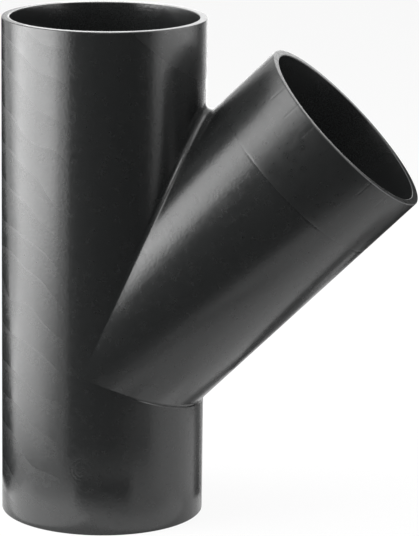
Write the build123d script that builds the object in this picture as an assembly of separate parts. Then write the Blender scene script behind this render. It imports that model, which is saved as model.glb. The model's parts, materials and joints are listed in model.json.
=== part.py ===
from build123d import *
import os
from math import atan, radians, sin, tan

# Lateral wye fitting: a plain-ended 45 degree branch for welded plastic pipe, moulded in one piece.
# Frame: millimetres, +Z up. The origin is the centre of the run's lower end, on which the fitting
# stands. The run goes straight up the Z axis, and the branch leaves it upwards, towards +X.

# Driving dimensions
PIPE_DIAMETER = 110.0   # outside diameter of all three spigots
WALL = 4.2              # the same thickness all round, also through the saddle
BRANCH_ANGLE = 45.0     # between the branch's axis and the upper part of the run's
LOWER_SPIGOT = 63.0     # round length of each spigot, from its end to where the saddle starts
UPPER_SPIGOT = 44.5
BRANCH_SPIGOT = 44.5
SADDLE_RADIUS = 3.2     # hollow blend outside, all along the line where branch and run meet
RIM_CHAMFER = 0.4       # sharp corners taken off the six edges of the three ends

# Modelling allowances
CUT_OVERRUN = 2.0       # how far the passage's cutting form runs past the ends
BLEND_BITE = 0.02       # how far the blend's round track dips into the bars it joins

# What follows from them
OUTER_RADIUS = PIPE_DIAMETER / 2
BORE_RADIUS = OUTER_RADIUS - WALL
BORE_SADDLE_RADIUS = SADDLE_RADIUS + WALL   # the same centres as outside keep the wall even
CROTCH_HALF = BRANCH_ANGLE / 2              # half the angle between the bars, above the branch
HEEL_HALF = 90 - CROTCH_HALF                # and below it

BLEND_CENTRE = OUTER_RADIUS + SADDLE_RADIUS
HEEL_REACH = BLEND_CENTRE / tan(radians(HEEL_HALF))      # from the axes' crossing down the run
CROTCH_REACH = BLEND_CENTRE / tan(radians(CROTCH_HALF))  # and up the run and the branch

CROSSING_HEIGHT = LOWER_SPIGOT + HEEL_REACH
RUN_LENGTH = CROSSING_HEIGHT + CROTCH_REACH + UPPER_SPIGOT
BRANCH_LENGTH = CROTCH_REACH + BRANCH_SPIGOT


def bar(radius, length):
    """A round bar that starts at the origin and runs up +Z."""
    return Cylinder(radius, length, align=(Align.CENTER, Align.CENTER, Align.MIN))


def saddle_blend(radius, blend_radius, half_angle):
    """The hollow blend between two bars of one radius, as a solid to add to them.

    The bars' axes lie in the XZ plane, half_angle to each side of +Z. A ball that rolls along
    their saddle line, touching both, keeps its centre on an ellipse in the YZ plane. The blend
    lies inside that ellipse, between the ball's two lines of touch, and outside its track.
    """
    half = radians(half_angle)
    across = radius + blend_radius
    along = across / sin(half)
    reach = along + blend_radius
    half_width = reach * tan(half - atan(radius * tan(half) / across))

    core = extrude(Plane.YZ * Ellipse(across, along), amount=half_width, both=True)
    section = make_face(Polyline((0, 0), (half_width, reach), (-half_width, reach), close=True))
    wedge = extrude(Plane.XZ * section, amount=reach, both=True)
    centres = Plane.YZ * EllipticalCenterArc((0, 0), across, along, start_angle=-10, arc_size=200)
    ball = Plane(origin=centres @ 0, z_dir=centres % 0) * Circle(blend_radius + BLEND_BITE)
    return (core & wedge) - sweep(ball, path=centres)


def wye_form(radius, blend_radius, overrun=0.0):
    """Run and branch as one solid form, blended above and below the branch."""
    crossing = Pos(0, 0, CROSSING_HEIGHT)
    run = Pos(0, 0, -overrun) * bar(radius, RUN_LENGTH + 2 * overrun)
    branch = crossing * Rot(0, BRANCH_ANGLE, 0) * bar(radius, BRANCH_LENGTH + overrun)
    crotch = crossing * Rot(0, CROTCH_HALF, 0) * saddle_blend(radius, blend_radius, CROTCH_HALF)
    heel = crossing * Rot(0, 180 - HEEL_HALF, 0) * saddle_blend(radius, blend_radius, HEEL_HALF)
    return run + branch + crotch + heel


def wye_body():
    """The moulded fitting: the outer form less the passage, with its rims' corners taken off."""
    outside = wye_form(OUTER_RADIUS, SADDLE_RADIUS)
    passage = wye_form(BORE_RADIUS, BORE_SADDLE_RADIUS, CUT_OVERRUN)
    shell = outside - passage
    rims = shell.edges().filter_by(GeomType.CIRCLE)
    return chamfer(rims, RIM_CHAMFER)


def save(solid, node):
    """Write one sub-part's STEP file, named after its node."""
    solid.label = node
    export_step(solid, os.path.join("parts", node + ".step"))


os.makedirs("parts", exist_ok=True)
save(wye_body(), "wye_body")
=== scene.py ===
"""Looks of the lateral wye fitting: a 45 degree drainage branch in black polyethylene, moulded in one piece.

The moulded body is one closed mesh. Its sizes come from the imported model, and it adds what the mould
leaves on the real fitting: rounded rims, alignment ticks, gate marks, insert lines and seams.
"""

import json
from math import cos, pi, radians, sin, tan

import bmesh
import bpy
import numpy as np
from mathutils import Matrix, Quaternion, Vector


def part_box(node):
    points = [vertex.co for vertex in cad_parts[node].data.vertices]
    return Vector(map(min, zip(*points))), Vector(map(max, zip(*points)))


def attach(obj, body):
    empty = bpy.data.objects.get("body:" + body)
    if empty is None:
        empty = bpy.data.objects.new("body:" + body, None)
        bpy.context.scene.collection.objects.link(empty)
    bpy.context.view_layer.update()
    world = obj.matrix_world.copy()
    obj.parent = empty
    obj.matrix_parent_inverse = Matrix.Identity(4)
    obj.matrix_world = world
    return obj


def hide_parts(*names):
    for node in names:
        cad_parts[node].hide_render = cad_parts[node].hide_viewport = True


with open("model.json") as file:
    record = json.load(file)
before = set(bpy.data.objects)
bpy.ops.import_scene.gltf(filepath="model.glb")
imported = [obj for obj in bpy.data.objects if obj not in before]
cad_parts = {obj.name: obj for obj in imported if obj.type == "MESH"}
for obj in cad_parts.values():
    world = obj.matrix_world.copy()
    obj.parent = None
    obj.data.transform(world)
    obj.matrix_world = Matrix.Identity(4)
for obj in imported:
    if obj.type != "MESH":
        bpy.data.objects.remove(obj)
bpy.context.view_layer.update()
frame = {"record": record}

MM = 0.001

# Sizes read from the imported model, in metres
mounts = {mount["name"]: mount for mount in frame["record"]["mounts"]}
body_low, body_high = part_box("wye_body")
OUTER_RADIUS = (body_high.y - body_low.y) / 2
BORE_RADIUS = mounts["run_bore"]["dims"]["r_mm"] * MM
RUN_LENGTH = body_high.z
BRANCH_AXIS = Vector(mounts["branch_end"]["axis"])
MOUTH = Vector(mounts["branch_end"]["pos_m"]) * Vector((1, 0, 1))
BRANCH_LENGTH = MOUTH.x / BRANCH_AXIS.x
CROSSING = MOUTH - BRANCH_AXIS * BRANCH_LENGTH
BRANCH_TOP = np.array((-BRANCH_AXIS.z, 0, BRANCH_AXIS.x))   # from the branch's axis towards its top

# The saddle: the mould is sharper at the heel, under the branch, than in the crotch above it
SADDLE_RADIUS = 3.2 * MM
HEEL_RADIUS = 1.2 * MM
CROTCH_HALF = BRANCH_AXIS.angle(Vector((0, 0, 1))) / 2
CROTCH_SLOPE = 1 / tan(CROTCH_HALF)   # how fast the crotch climbs, and the heel falls, away from the front
HEEL_SLOPE = tan(CROTCH_HALF)

# What the mould leaves. Marks on the branch are placed from its mouth, and depths are exaggerated a
# little where the real ones are too fine to draw
RIM_ROUND = 0.45 * MM
TICK_STEP = 15               # degrees between alignment ticks
TICK_LONG = 14 * MM          # every quarter turn
TICK_SHORT = 10.5 * MM
TICK_WIDTH = 0.45 * MM
TICK_DEPTH = 0.06 * MM
TICK_FADE = 1.0 * MM
RUN_GATE = 36 * MM           # height of the gate mark on the run's front
RUN_GATE_RADIUS = 6.0 * MM
BRANCH_GATE = 58.8 * MM
BRANCH_GATE_RADIUS = 5.6 * MM
GATE_RING = 1.7 * MM         # between the gate mark's two rings
GATE_DEPTH = 0.05 * MM
PARTING_DEPTH = 0.14 * MM    # shallow valleys on both sides of the mould's parting line
PARTING_WIDTH = 2.4 * MM
FLASH_WIDTH = 0.4 * MM       # the fine crest between them
INSERT_LINE = 37.5 * MM      # where the end inserts met the mould's halves
INSERT_DEPTH = 0.09 * MM
INSERT_WIDTH = 0.5 * MM
SEAM_DEPTH = 0.05 * MM       # the ledge round the back of the run, in line with the heel
SEAM_RISE = 2 * MM
SEAM_REACH = 5 * MM
SEAM_EDGE = 0.15 * MM
NOTCH_DEPTH = 0.8 * MM       # the fine notch along the heel
NOTCH_DROP = 0.6 * MM
NOTCH_HALF_WIDTH = 0.5 * MM

# How far in from an end the mesh's rows are level rings
LOW_RINGS = 50 * MM
END_RINGS = 42.5 * MM


def hollow(distance, width):
    """1 in the middle of a groove, falling to 0 over its width."""
    return np.exp(-((distance / width) ** 2))


def tick_depth(angle, from_end):
    """Alignment ticks: short grooves that run in from an end, every few degrees."""
    nearest = np.round(angle / TICK_STEP) * TICK_STEP
    off = np.radians(angle - nearest) * OUTER_RADIUS
    length = np.where(np.abs(nearest) % 90 == 0, TICK_LONG, TICK_SHORT)
    fade = np.clip((length - from_end) / TICK_FADE, 0, 1)
    return TICK_DEPTH * hollow(off, TICK_WIDTH) * fade


def gate_depth(angle, from_end, gate, outer):
    """A round gate mark on the front: two ring grooves round a slightly sunk disc."""
    across = np.radians(angle + 90) * OUTER_RADIUS
    reach = np.hypot(across, from_end - gate)
    inner = outer - GATE_RING
    rings = hollow(reach - outer, 0.45 * MM) + 0.8 * hollow(reach - inner, 0.5 * MM)
    return GATE_DEPTH * (rings + 0.3 * (reach < inner))


def parting_depth(angle):
    """The flash line where the mould's halves met, along both sides: a fine crest between valleys."""
    off = np.radians((angle + 90) % 180 - 90) * OUTER_RADIUS
    return PARTING_DEPTH * hollow(off, PARTING_WIDTH) * (1 - hollow(off, FLASH_WIDTH))


def ledge(below):
    """A shallow step: 0 above it, 1 just below it and back to 0 over its reach."""
    return np.exp(-np.maximum(below, 0) / SEAM_REACH) / (1 + np.exp(-np.clip(below / SEAM_EDGE, -30, 30)))


def run_depth(angle, height):
    """How far the run's outside lies below its true radius."""
    angle = (angle + 180) % 360 - 180
    depth = gate_depth(angle, height, RUN_GATE, RUN_GATE_RADIUS)
    depth = depth + parting_depth(angle) * (RUN_LENGTH - height > INSERT_LINE)
    heel = CROSSING.z - (OUTER_RADIUS + HEEL_RADIUS) * np.cos(np.radians(angle)) * HEEL_SLOPE
    behind = np.clip((np.abs(angle) - 88) / 4, 0, 1)
    depth = depth + behind * SEAM_DEPTH * ledge(heel + SEAM_RISE - height)
    under = np.clip((62 - np.abs(angle)) / 20, 0, 1)
    notch = np.clip(1 - np.abs(heel - NOTCH_DROP - height) / NOTCH_HALF_WIDTH, 0, 1)
    return depth + under * NOTCH_DEPTH * notch


def branch_depth(angle, along):
    """The same for the branch."""
    from_mouth = BRANCH_LENGTH - along
    depth = tick_depth(angle, from_mouth)
    depth = depth + gate_depth(angle, from_mouth, BRANCH_GATE, BRANCH_GATE_RADIUS)
    depth = depth + parting_depth(angle) * (from_mouth > INSERT_LINE)
    return depth + INSERT_DEPTH * hollow(from_mouth - INSERT_LINE, INSERT_WIDTH)


def spread(start, end, step, fine=(), fine_step=0.5):
    """Values from start to end, closer together inside each (middle, reach) of fine."""
    values = [start]
    while values[-1] < end - 1e-9:
        here = values[-1]
        pace = fine_step if any(abs(here + fine_step - m) < r for m, r in fine) else step
        nearest = min((m - r for m, r in fine if m - r > here + 1e-9), default=end)
        values.append(min(here + pace, max(nearest, here + fine_step), end))
    return np.array(values)


# Columns round a pipe, in degrees: closer together at every tick and across the gate marks in front.
# The side that meets the other pipe comes first, then the rest of the way round
side = spread(-90, 90, 3.0, [(t, 1.0) for t in range(-90, 91, TICK_STEP)] + [(-90, 7.5), (90, 0.8)], 0.4)
rear = spread(90, 270, 3.0, [(t, 1.0) for t in range(90, 271, TICK_STEP)] + [(270, 7.5)], 0.4)


def end_rows(end_gap, length, mark, mark_reach, inside):
    """Distances in from an end, close together at its rim, at the ticks' ends and across one more mark."""
    if inside:
        return np.linspace(end_gap, length, round(length / (8 * MM)) + 1)
    fine = [(mark / MM, mark_reach), (TICK_LONG / MM, 1.5), (TICK_SHORT / MM, 1.5), (0, 1.5)]
    return spread(end_gap / MM, length / MM, 5.0, fine) * MM


def between(near, far, shares):
    """Rows of values from near to far, at these shares of the way."""
    return near + (far - near) * np.asarray(shares)[:, None]


def level(values, count):
    """Each value as a row of this many equal ones."""
    return np.repeat(values[:, None], count, 1)


def run_point(angle, height, radius):
    """A point round the run; angle is from +X, so -90 faces the front."""
    turn = np.radians(angle)
    return np.stack([radius * np.cos(turn), radius * np.sin(turn), height + 0 * turn], -1)


def branch_point(angle, along, radius):
    """A point round the branch; angle is from its underside, and -90 faces the front."""
    turn = np.radians(angle)[..., None]
    out = -np.cos(turn) * BRANCH_TOP + np.sin(turn) * np.array((0, 1, 0))
    return (np.array(CROSSING) + np.asarray(along)[..., None] * np.array(BRANCH_AXIS)
            + np.asarray(radius)[..., None] * out)


class Skin:
    """Collects grids of points and joins them into one mesh."""

    def __init__(self):
        self.mesh = bmesh.new()

    def grid(self, points, inside=False):
        """Adds quads over points[row][column]. The inside has the second material."""
        rows = [[self.mesh.verts.new(p) for p in row] for row in points]
        for a, b in zip(rows, rows[1:]):
            for i in range(len(a) - 1):
                face = self.mesh.faces.new([a[i], a[i + 1], b[i + 1], b[i]])
                face.material_index = int(inside)

    def finish(self, name):
        """Welds the grids' shared edges and returns the object, smooth all over."""
        bmesh.ops.remove_doubles(self.mesh, verts=self.mesh.verts, dist=2e-6)
        bmesh.ops.dissolve_degenerate(self.mesh, edges=self.mesh.edges, dist=1e-7)
        bmesh.ops.recalc_face_normals(self.mesh, faces=self.mesh.faces)
        for face in self.mesh.faces:
            face.smooth = True
        mesh = bpy.data.meshes.new(name)
        self.mesh.to_mesh(mesh)
        self.mesh.free()
        piece = bpy.data.objects.new(name, mesh)
        bpy.context.scene.collection.objects.link(piece)
        return piece


def add_blend(skin, radius, blend, slope, up, inside):
    """The rolled saddle between run and branch: up is +1 in the crotch and -1 at the heel."""
    centre = radius + blend
    turn = np.radians(side)
    offset = centre * np.cos(turn) * slope
    middle = np.stack([centre * np.cos(turn), centre * np.sin(turn), CROSSING.z + up * offset], -1)
    on_run = run_point(side, CROSSING.z + up * offset, radius)
    on_branch = branch_point(side if up < 0 else 180 - side, offset, radius)
    a = (on_run - middle) / blend
    b = (on_branch - middle) / blend
    full = np.arccos(np.clip((a * b).sum(-1), -1, 1))[:, None]
    none_left = full < 1e-4     # at the front and back the two pipes share a tangent
    safe = np.where(none_left, 1, full)
    rows = []
    for share in np.linspace(0, 1, 9):
        turned = (np.sin((1 - share) * safe) * a + np.sin(share * safe) * b) / np.sin(safe)
        rows.append(middle + blend * np.where(none_left, a, turned))
    rows[0], rows[-1] = on_run, on_branch
    skin.grid(rows, inside)


def add_wall(skin, radius, blend, heel_blend, inside):
    """One face of the wall: run, branch and the saddle between them, up to where the rims begin."""
    around = np.concatenate([side, rear[1:]])
    front = np.abs(around) <= 90
    lean = np.cos(np.radians(around))
    low = CROSSING.z - (radius + heel_blend) * lean * HEEL_SLOPE
    high = np.where(front, CROSSING.z + (radius + blend) * lean * CROTCH_SLOPE, low)
    if inside:
        under_heel = [5, 2.5, 0]                                # mm below the saddle
        over_saddle = along_branch = np.linspace(0, 1, 14)      # shares of the way to the level rings
    else:
        under_heel = [5, 4, 3, 2.4, 2.0, 1.7, 1.4, 1.15, 1.1, 0.85, 0.6, 0.35, 0.1, 0.05, 0]
        over_saddle = [0, 0.004, 0.008, 0.014, 0.03, 0.06, *np.linspace(0.1, 1, 15)]
        along_branch = [*np.linspace(0, 0.80, 14), *np.linspace(0.80, 0.95, 40)[1:], 0.975, 1]

    bottom = end_rows(RIM_ROUND, LOW_RINGS, RUN_GATE, 7.5, inside)
    end = end_rows(RIM_ROUND, END_RINGS, INSERT_LINE, 2.0, inside)[::-1]
    lower = np.concatenate([level(bottom, len(around)),
                            between(LOW_RINGS, low - 5 * MM, [0.35, 0.7]),
                            low - np.array(under_heel)[:, None] * MM])
    upper = np.concatenate([between(high, RUN_LENGTH - END_RINGS, over_saddle),
                            level(RUN_LENGTH - end, len(around))[1:]])
    for heights, at_saddle in ((lower, -1), (upper, 0)):
        sink = 0 * heights if inside else run_depth(around[None] + 0 * heights, heights)
        sink[at_saddle] = np.where(front, 0, sink[at_saddle])
        skin.grid(run_point(around[None] + 0 * heights, heights, radius - sink), inside)

    for slope, up, rolled in ((HEEL_SLOPE, -1, heel_blend), (CROTCH_SLOPE, 1, blend)):
        angle = side if up < 0 else 180 - side
        root = (radius + rolled) * np.cos(np.radians(side)) * slope
        along = np.concatenate([between(root, BRANCH_LENGTH - END_RINGS, along_branch),
                                level(BRANCH_LENGTH - end, len(angle))[1:]])
        angles = angle[None] + 0 * along
        sink = 0 * along if inside else branch_depth((angles + 180) % 360 - 180, along)
        sink[0] = 0
        skin.grid(branch_point(angles, along, radius - sink), inside)
        add_blend(skin, radius, rolled, slope, up, inside)


def add_rim(skin, point, angles, end, inward, ticks=0.0):
    """A rim's rounded profile, from the outside across the flat end to the bore."""
    quarter = np.linspace(0, pi / 2, 5)
    outer_arc = [(OUTER_RADIUS - RIM_ROUND * (1 - cos(t)), RIM_ROUND * (1 - sin(t))) for t in quarter]
    inner_arc = [(BORE_RADIUS + RIM_ROUND * (1 - cos(t)), RIM_ROUND * (1 - sin(t))) for t in quarter[::-1]]
    flat = [(r, 0) for r in np.linspace(OUTER_RADIUS - RIM_ROUND, BORE_RADIUS + RIM_ROUND, 5)[1:-1]]
    rows = []
    for index, (radius, back) in enumerate(outer_arc + flat + inner_arc):
        from_end = np.full(len(angles), back)
        sink = 0
        if index < len(outer_arc):
            sink = ticks * tick_depth((angles + 180) % 360 - 180, from_end)
        rows.append(point(angles, end + inward * from_end, radius - sink))
    skin.grid(rows)


skin = Skin()
add_wall(skin, OUTER_RADIUS, SADDLE_RADIUS, HEEL_RADIUS, False)
inner_blend = SADDLE_RADIUS + OUTER_RADIUS - BORE_RADIUS   # keeps the wall even through the saddle
add_wall(skin, BORE_RADIUS, inner_blend, inner_blend, True)
round_run = np.concatenate([side, rear[1:]])
round_branch = np.concatenate([side, (180 - side)[::-1][1:]])
add_rim(skin, run_point, round_run, 0.0, 1)
add_rim(skin, run_point, round_run, RUN_LENGTH, -1, 0.3)
add_rim(skin, branch_point, round_branch, BRANCH_LENGTH, -1, 1.0)
body = skin.finish("moulded_body")

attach(body, "root")
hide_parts("wye_body")


def linear(hex_colour):
    """An sRGB hex colour as linear RGBA."""
    channels = [int(hex_colour[i:i + 2], 16) / 255 for i in (1, 3, 5)]
    return [c / 12.92 if c <= 0.04045 else ((c + 0.055) / 1.055) ** 2.4 for c in channels] + [1]


def add(tree, kind, feeds=(), **settings):
    """Adds a node, sets its properties, and links or sets each input named in feeds."""
    node = tree.nodes.new(kind)
    for name, value in settings.items():
        setattr(node, name, value)
    for socket, value in dict(feeds).items():
        if isinstance(value, bpy.types.NodeSocket):
            tree.links.new(value, node.inputs[socket])
        else:
            node.inputs[socket].default_value = value
    return node


def empty_material(name):
    """A material whose node tree is empty, and that tree."""
    material = bpy.data.materials.new(name)
    material.use_nodes = True
    material.node_tree.nodes.clear()
    return material, material.node_tree


# Pattern sizes on the plastic. Real grain is a tenth of this, too fine to draw, so it is drawn coarser
GRAIN_CELL = 1.6 * MM
GRAIN_HEIGHT = 0.04 * MM
POLISH_CELL = 4 * MM        # patches where the mould's polish varies
POLISH_RANGE = 0.04         # roughness, either way
PIGMENT_CELL = 0.9 * MM     # the carbon black isn't spread quite evenly
PIGMENT_RANGE = 0.45        # share of the colour, either way
FRONT_STEP = 19.5 * MM      # between melt fronts
FRONT_LEAN = 0.65           # how fast they slope down to the right
FRONT_DRIFT = 20 * MM       # how far they wander, over cells of 30 mm
FRONT_GLOSS = 0.10          # roughness gained from one front to the next
INSERT_GLOSS = 0.05         # the branch's end insert was a little less polished than the mould's halves


def plastic(name, colour, roughness, front_height):
    """Black polyethylene as the mould left it: fine grain, uneven polish, and the marks of melt fronts."""
    material, tree = empty_material(name)
    place = add(tree, "ShaderNodeTexCoord").outputs["Object"]
    axes = add(tree, "ShaderNodeSeparateXYZ", {"Vector": place}).outputs
    grain = add(tree, "ShaderNodeTexNoise",
                {"Vector": place, "Scale": 1 / GRAIN_CELL, "Detail": 1.0, "Roughness": 0.5}).outputs["Fac"]
    drift = add(tree, "ShaderNodeTexNoise", {"Vector": place, "Scale": 1 / (30 * MM), "Detail": 0.0}).outputs["Fac"]
    polish = add(tree, "ShaderNodeTexNoise",
                 {"Vector": place, "Scale": 1 / POLISH_CELL, "Detail": 4.0, "Roughness": 0.65}).outputs["Fac"]
    pigment = add(tree, "ShaderNodeTexNoise",
                  {"Vector": place, "Scale": 1 / PIGMENT_CELL, "Detail": 2.0, "Roughness": 0.7}).outputs["Fac"]

    # Melt fronts: a sawtooth down a slanted height, on the run's left and above its foot
    wander = add(tree, "ShaderNodeMath", {0: drift, 1: FRONT_DRIFT, 2: -FRONT_DRIFT / 2},
                 operation="MULTIPLY_ADD").outputs[0]
    slanted = add(tree, "ShaderNodeMath", {0: axes["X"], 1: FRONT_LEAN, 2: axes["Z"]},
                  operation="MULTIPLY_ADD").outputs[0]
    wandered = add(tree, "ShaderNodeMath", {0: slanted, 1: wander}, operation="ADD").outputs[0]
    turns = add(tree, "ShaderNodeMath", {0: wandered, 1: FRONT_STEP}, operation="DIVIDE").outputs[0]
    saw = add(tree, "ShaderNodeMath", {0: turns}, operation="FRACT").outputs[0]
    fall = add(tree, "ShaderNodeMath", {0: 1.0, 1: saw}, operation="SUBTRACT").outputs[0]
    steep = add(tree, "ShaderNodeMath", {0: fall, 1: 18.0}, operation="MULTIPLY").outputs[0]
    edge = add(tree, "ShaderNodeMath", {0: saw, 1: steep, 2: 0.05}, operation="SMOOTH_MIN").outputs[0]
    left = add(tree, "ShaderNodeMapRange", {"Value": axes["X"], "From Min": -6 * MM, "From Max": -20 * MM}).outputs[0]
    raised = add(tree, "ShaderNodeMapRange", {"Value": axes["Z"], "From Min": 60 * MM, "From Max": 120 * MM}).outputs[0]
    shown = add(tree, "ShaderNodeMath", {0: edge, 1: left}, operation="MULTIPLY").outputs[0]
    fronts = add(tree, "ShaderNodeMath", {0: shown, 1: raised}, operation="MULTIPLY").outputs[0]
    relief = add(tree, "ShaderNodeMath", {0: fronts, 1: front_height / GRAIN_HEIGHT, 2: grain},
                 operation="MULTIPLY_ADD").outputs[0]
    bump = add(tree, "ShaderNodeBump", {"Height": relief, "Strength": 1.0, "Distance": GRAIN_HEIGHT}).outputs[0]

    # Gloss: patchy polish, a step at each front, and the branch's duller end
    gloss = add(tree, "ShaderNodeMapRange",
                {"Value": polish, "From Min": 0.3, "From Max": 0.7,
                 "To Min": roughness - POLISH_RANGE, "To Max": roughness + POLISH_RANGE}).outputs[0]
    climb = add(tree, "ShaderNodeMath", {0: axes["Z"], 1: BRANCH_AXIS.z}, operation="MULTIPLY").outputs[0]
    along = add(tree, "ShaderNodeMath", {0: axes["X"], 1: BRANCH_AXIS.x, 2: climb}, operation="MULTIPLY_ADD").outputs[0]
    at_end = add(tree, "ShaderNodeMath", {0: along, 1: MOUTH.dot(BRANCH_AXIS) - INSERT_LINE},
                 operation="GREATER_THAN").outputs[0]
    duller = add(tree, "ShaderNodeMath", {0: at_end, 1: INSERT_GLOSS, 2: gloss}, operation="MULTIPLY_ADD").outputs[0]
    centred = add(tree, "ShaderNodeMath", {0: saw, 1: 0.5}, operation="SUBTRACT").outputs[0]
    swing = add(tree, "ShaderNodeMath", {0: centred, 1: left}, operation="MULTIPLY").outputs[0]
    dulled = add(tree, "ShaderNodeMath", {0: swing, 1: FRONT_GLOSS, 2: duller}, operation="MULTIPLY_ADD").outputs[0]

    tint = add(tree, "ShaderNodeMix", {"Factor": pigment}, data_type="RGBA")
    base = linear(colour)[:3]
    ends = [socket for socket in tint.inputs if socket.type == "RGBA"]
    for socket, share in zip(ends, (1 - PIGMENT_RANGE, 1 + PIGMENT_RANGE)):
        socket.default_value = [share * c for c in base] + [1]
    tinted = next(socket for socket in tint.outputs if socket.type == "RGBA")
    shader = add(tree, "ShaderNodeBsdfPrincipled",
                 {"Base Color": tinted, "Roughness": dulled, "Normal": bump, "IOR": 1.51}).outputs["BSDF"]
    add(tree, "ShaderNodeOutputMaterial", {"Surface": shader})
    return material


# Black high-density polyethylene, injection moulded against a lightly textured steel mould. It looks
# grey-black, with a satin gloss whose highlights have soft edges and faint slanting steps
body.data.materials.append(plastic("moulded_polyethylene", "#1a1b1b", 0.25, 0.05 * MM))
# The same plastic inside, moulded on a polished core. Its gloss is sharper, so it mirrors the dark
# bore and looks nearly black. Its colour is a shade lighter than the outside's: painted light that lifts the dim bore
body.data.materials.append(plastic("bore_polyethylene", "#1f2020", 0.18, 0.0))

# Stage: a white room for whatever is seen directly or in the gloss, and a dim one for light
ROOM_LEVEL = 0.35
FLOOR_GLOW = 0.9     # share of the floor's white that is seen directly
FLOOR_HALF = 3


def seen_directly(tree):
    """1 where the camera, a reflection or a refraction looks, and 0 for scattered light."""
    rays = add(tree, "ShaderNodeLightPath").outputs
    seen = add(tree, "ShaderNodeMath", {0: rays["Is Camera Ray"], 1: rays["Is Glossy Ray"]},
               operation="MAXIMUM").outputs[0]
    return add(tree, "ShaderNodeMath", {0: seen, 1: rays["Is Transmission Ray"]}, operation="MAXIMUM").outputs[0]


def stage_piece(name, corners, faces, material):
    """A flat piece of the stage."""
    mesh = bpy.data.meshes.new(name)
    mesh.from_pydata(corners, [], faces)
    mesh.materials.append(material)
    piece = bpy.data.objects.new(name, mesh)
    bpy.context.scene.collection.objects.link(piece)
    return piece


# White painted board: flat white, and it keeps the fitting's soft shadow
white_board, tree = empty_material("white_floor")
board = add(tree, "ShaderNodeBsdfDiffuse", {"Color": linear("#f0f0f0")}).outputs[0]
glow = add(tree, "ShaderNodeEmission", {"Color": (1, 1, 1, 1), "Strength": 1.0}).outputs[0]
share = add(tree, "ShaderNodeMath", {0: seen_directly(tree), 1: FLOOR_GLOW}, operation="MULTIPLY").outputs[0]
mix = add(tree, "ShaderNodeMixShader", {"Fac": share, 1: board, 2: glow}).outputs[0]
add(tree, "ShaderNodeOutputMaterial", {"Surface": mix})
stage_piece("floor", [(x * FLOOR_HALF, y * FLOOR_HALF, 0) for x, y in ((-1, -1), (1, -1), (1, 1), (-1, 1))],
            [(0, 1, 2, 3)], white_board)

world = bpy.data.worlds.new("studio")
bpy.context.scene.world = world
world.use_nodes = True
tree = world.node_tree
tree.nodes.clear()
room = add(tree, "ShaderNodeBackground", {"Color": (1, 1, 1, 1), "Strength": ROOM_LEVEL}).outputs[0]
white = add(tree, "ShaderNodeBackground", {"Color": (1, 1, 1, 1), "Strength": 1.0}).outputs[0]
mix = add(tree, "ShaderNodeMixShader", {"Fac": seen_directly(tree), 1: room, 2: white}).outputs[0]
add(tree, "ShaderNodeOutputWorld", {"Surface": mix})


def outward(azimuth):
    """The level direction of a bearing: azimuth 0 is in front of the fitting and 90 to its right."""
    turn = radians(azimuth)
    return Vector((sin(turn), -cos(turn), 0))


def soft_light(name, width, length, radiance):
    """A rectangular soft light that faces down, with this radiance all over."""
    light = bpy.data.lights.new(name, "AREA")
    light.shape = "RECTANGLE"
    light.size = width
    light.size_y = length
    light.energy = radiance * pi * width * length
    lamp = bpy.data.objects.new(name, light)
    bpy.context.scene.collection.objects.link(lamp)
    lamp.rotation_mode = "QUATERNION"
    lamp.visible_camera = False
    return lamp


def softbox(name, azimuth, distance, width, bottom, top, radiance):
    """An upright soft light that faces the fitting."""
    lamp = soft_light(name, width, top - bottom, radiance)
    lamp.location = outward(azimuth) * distance + Vector((0, 0, (bottom + top) / 2))
    lamp.rotation_quaternion = (-outward(azimuth)).to_track_quat("-Z", "Y")


def soft_panel(name, azimuth, distance, width, bottom, top, radiance):
    """A soft light that is brightest in its middle: upright lights, each narrower than the last."""
    shares = (1.0, 0.78, 0.56)
    for index, share in enumerate(shares):
        softbox(name + "_" + str(index), azimuth, distance + 0.005 * index, width * share, bottom, top,
                radiance / len(shares))


def floor_light(name, azimuth, near, far, width, radiance):
    """A soft light that lies on the floor and faces up, from near to far on a bearing."""
    lamp = soft_light(name, width, far - near, radiance)
    lamp.location = outward(azimuth) * ((near + far) / 2)
    lamp.location.z = 0.001 - 0.002 * near   # no two lie in one plane
    lamp.rotation_quaternion = Quaternion((0, 0, 1), radians(azimuth)) @ Quaternion((1, 0, 0), pi)


# Name, azimuth in degrees, distance, width, bottom, top, radiance
soft_panel("low_key_light", -71, 0.70, 1.20, 0.0, 0.13, 7.1)
soft_panel("key_light", -71, 0.70, 1.20, 0.13, 0.48, 9.0)
softbox("upper_key_light", -66, 0.70, 0.52, 0.48, 0.95, 3.2)
softbox("upper_key_spill", -74, 0.71, 1.10, 0.48, 0.95, 1.8)
softbox("front_high_light", 15, 1.00, 0.50, 0.75, 1.05, 7.0)
softbox("right_light", 96, 1.00, 1.0, 0.08, 0.90, 2.6)
softbox("back_light", 180, 0.90, 0.5, 0.02, 0.60, 2.0)
# Name, azimuth in degrees, near end, far end, width, radiance
floor_light("floor_light_0", -82, 0.17, 0.70, 0.28, 1.2)
floor_light("floor_light_1", -80, 0.24, 0.70, 0.42, 1.6)
floor_light("floor_light_2", -80, 0.36, 0.70, 0.70, 1.4)
floor_light("near_floor_light", -40, 0.057, 0.11, 0.11, 1.3)
floor_light("near_front_light", 40, 0.057, 0.082, 0.12, 0.5)
floor_light("right_floor_light", 102, 0.09, 0.28, 0.20, 0.25)
top_light = soft_light("top_light", 1.0, 1.0, 2.2)
top_light.location = (0.05, 0, 1.2)


def paper(name, colour):
    """Uncoated card: flat, with no gloss."""
    material, tree = empty_material(name)
    flat = add(tree, "ShaderNodeBsdfDiffuse", {"Color": linear(colour)}).outputs[0]
    add(tree, "ShaderNodeOutputMaterial", {"Surface": flat})
    return material


black_paper = paper("black_paper", "#060606")
grey_paper = paper("grey_paper", "#747474")


def card(name, corners, faces, colour=black_paper):
    """A card beside the fitting, which only its gloss sees."""
    piece = stage_piece(name, corners, faces, colour)
    for ray in ("camera", "diffuse", "transmission", "volume_scatter", "shadow"):
        setattr(piece, "visible_" + ray, False)


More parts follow.
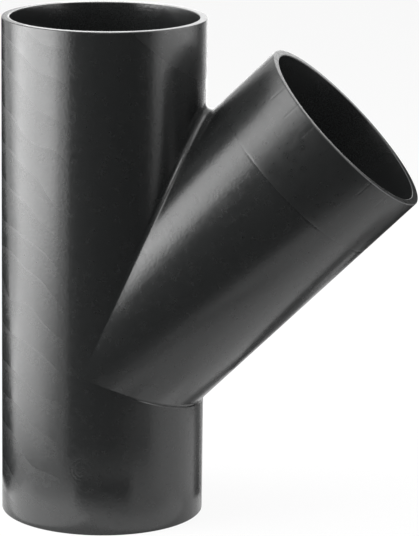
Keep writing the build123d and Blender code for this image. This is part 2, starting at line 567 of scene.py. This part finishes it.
def strip_card(name, first, second, colour=black_paper):
    """A card between two lines of points."""
    n = len(first)
    card(name, first + second, [(i, i + 1, n + i + 1, n + i) for i in range(n - 1)], colour)


def standing_card(name, foot, top, colour=black_paper):
    """A card that stands on the floor along the line of points foot."""
    strip_card(name, [(x, y, 0) for x, y in foot], [(x, y, top) for x, y in foot], colour)


def lying_card(name, near, far, colour=black_paper):
    """A card that lies just above the floor between two lines of points."""
    strip_card(name, [(x, y, 0.0015) for x, y in near], [(x, y, 0.0015) for x, y in far], colour)


def bearing(azimuth, distance):
    """A floor point at this distance from the run's axis."""
    return tuple(outward(azimuth) * distance)[:2]


# In front: they hold the middle of the run and the branch dark
lying_card("front_floor_card",
           [(-0.09, -0.18), (-0.05, -0.195), (0.0, -0.20), (0.08, -0.20),
            (0.16, -0.20), (0.225, -0.185), (0.28, -0.135)],
           [bearing(-28, 0.36), (-0.08, -0.345), (0, -0.35), (0.08, -0.33),
            (0.15, -0.30), (0.25, -0.28), (0.35, -0.17)])
standing_card("low_card", [bearing(a, 0.112) for a in (-12, -4, 4, 12, 20, 28)] + [bearing(36, 0.118)], 0.013)
standing_card("mid_card", [(-0.08, -0.160), (0.02, -0.165), (0.10, -0.155), (0.155, -0.12), (0.18, -0.10)], 0.016)
standing_card("near_card", [(0.14, -0.24), (0.22, -0.30), (0.31, -0.165)], 0.15)
standing_card("front_card", [bearing(-28, 0.36), (0.0, -0.35), bearing(64, 0.5)], 0.34)
# Behind the mouth: it greys the branch's rim
card("mouth_card", [(0.225, 0.43, 0.20), (0.38, 0.43, 0.20), (0.38, 0.43, 0.45), (0.225, 0.43, 0.45)],
     [(0, 1, 2, 3)], grey_paper)
# On the left: they draw the run's dark left edge
card("left_card",
     [(*bearing(-88, 0.125), 0), (*bearing(-90, 0.125), 0.03), (*bearing(-109, 0.118), 0.21),
      (*bearing(-112, 0.118), 0.265), (*bearing(-140, 0.13), 0.265), (*bearing(-140, 0.13), 0),
      (*bearing(-174, 0.13), 0), (*bearing(-174, 0.13), 0.265)],
     [(0, 1, 2, 3, 4, 5), (5, 4, 7, 6)])
lying_card("left_rear_floor_card", [(-0.080, -0.004), (-0.077, 0.03), (-0.06, 0.06)],
           [(-0.15, -0.012), (-0.15, 0.04), (-0.13, 0.12)])
# Behind, on the right: they draw the right edges of the run and the branch's lower edge
standing_card("rear_card", [(0.225, 0.17), (0.17, 0.21)], 0.27)
card("under_card", [(0.075, 0.002, 0.07), (0.22, 0.022, 0.07), (0.22, 0.085, 0.07), (0.075, 0.022, 0.07)],
     [(0, 1, 2, 3)], grey_paper)
lying_card("rear_floor_card", [(0.0716, 0.012), (0.201, 0.184)], [(0.0612, 0.0283), (0.106, 0.239)], grey_paper)
lying_card("far_floor_card", [(0.217, 0.13), (0.36, 0.10)], [(0.20, 0.25), (0.36, 0.25)], grey_paper)
standing_card("far_low_card", [(0.14, 0.25), (0.36, 0.25)], 0.10, grey_paper)

# Camera: a long lens, a little above the fitting and to the right of its front
AIM = Vector((0.058354, 0, 0.137327))
CAMERA_AZIMUTH = 9.367
CAMERA_ELEVATION = 13.313
CAMERA_ROLL = 0.763
CAMERA_DISTANCE = 1.7108
camera_data = bpy.data.cameras.new("camera")
camera_data.lens = 213.013
camera_data.sensor_width = 36
camera_data.sensor_fit = "AUTO"
camera = bpy.data.objects.new("camera", camera_data)
bpy.context.scene.collection.objects.link(camera)
rise = radians(CAMERA_ELEVATION)
back = outward(CAMERA_AZIMUTH) * cos(rise) + Vector((0, 0, sin(rise)))
camera.location = AIM + back * CAMERA_DISTANCE
camera.rotation_mode = "QUATERNION"
camera.rotation_quaternion = (-back).to_track_quat("-Z", "Y") @ Quaternion((0, 0, 1), radians(CAMERA_ROLL))
bpy.context.scene.camera = camera
bpy.context.scene.view_settings.view_transform = "Standard"
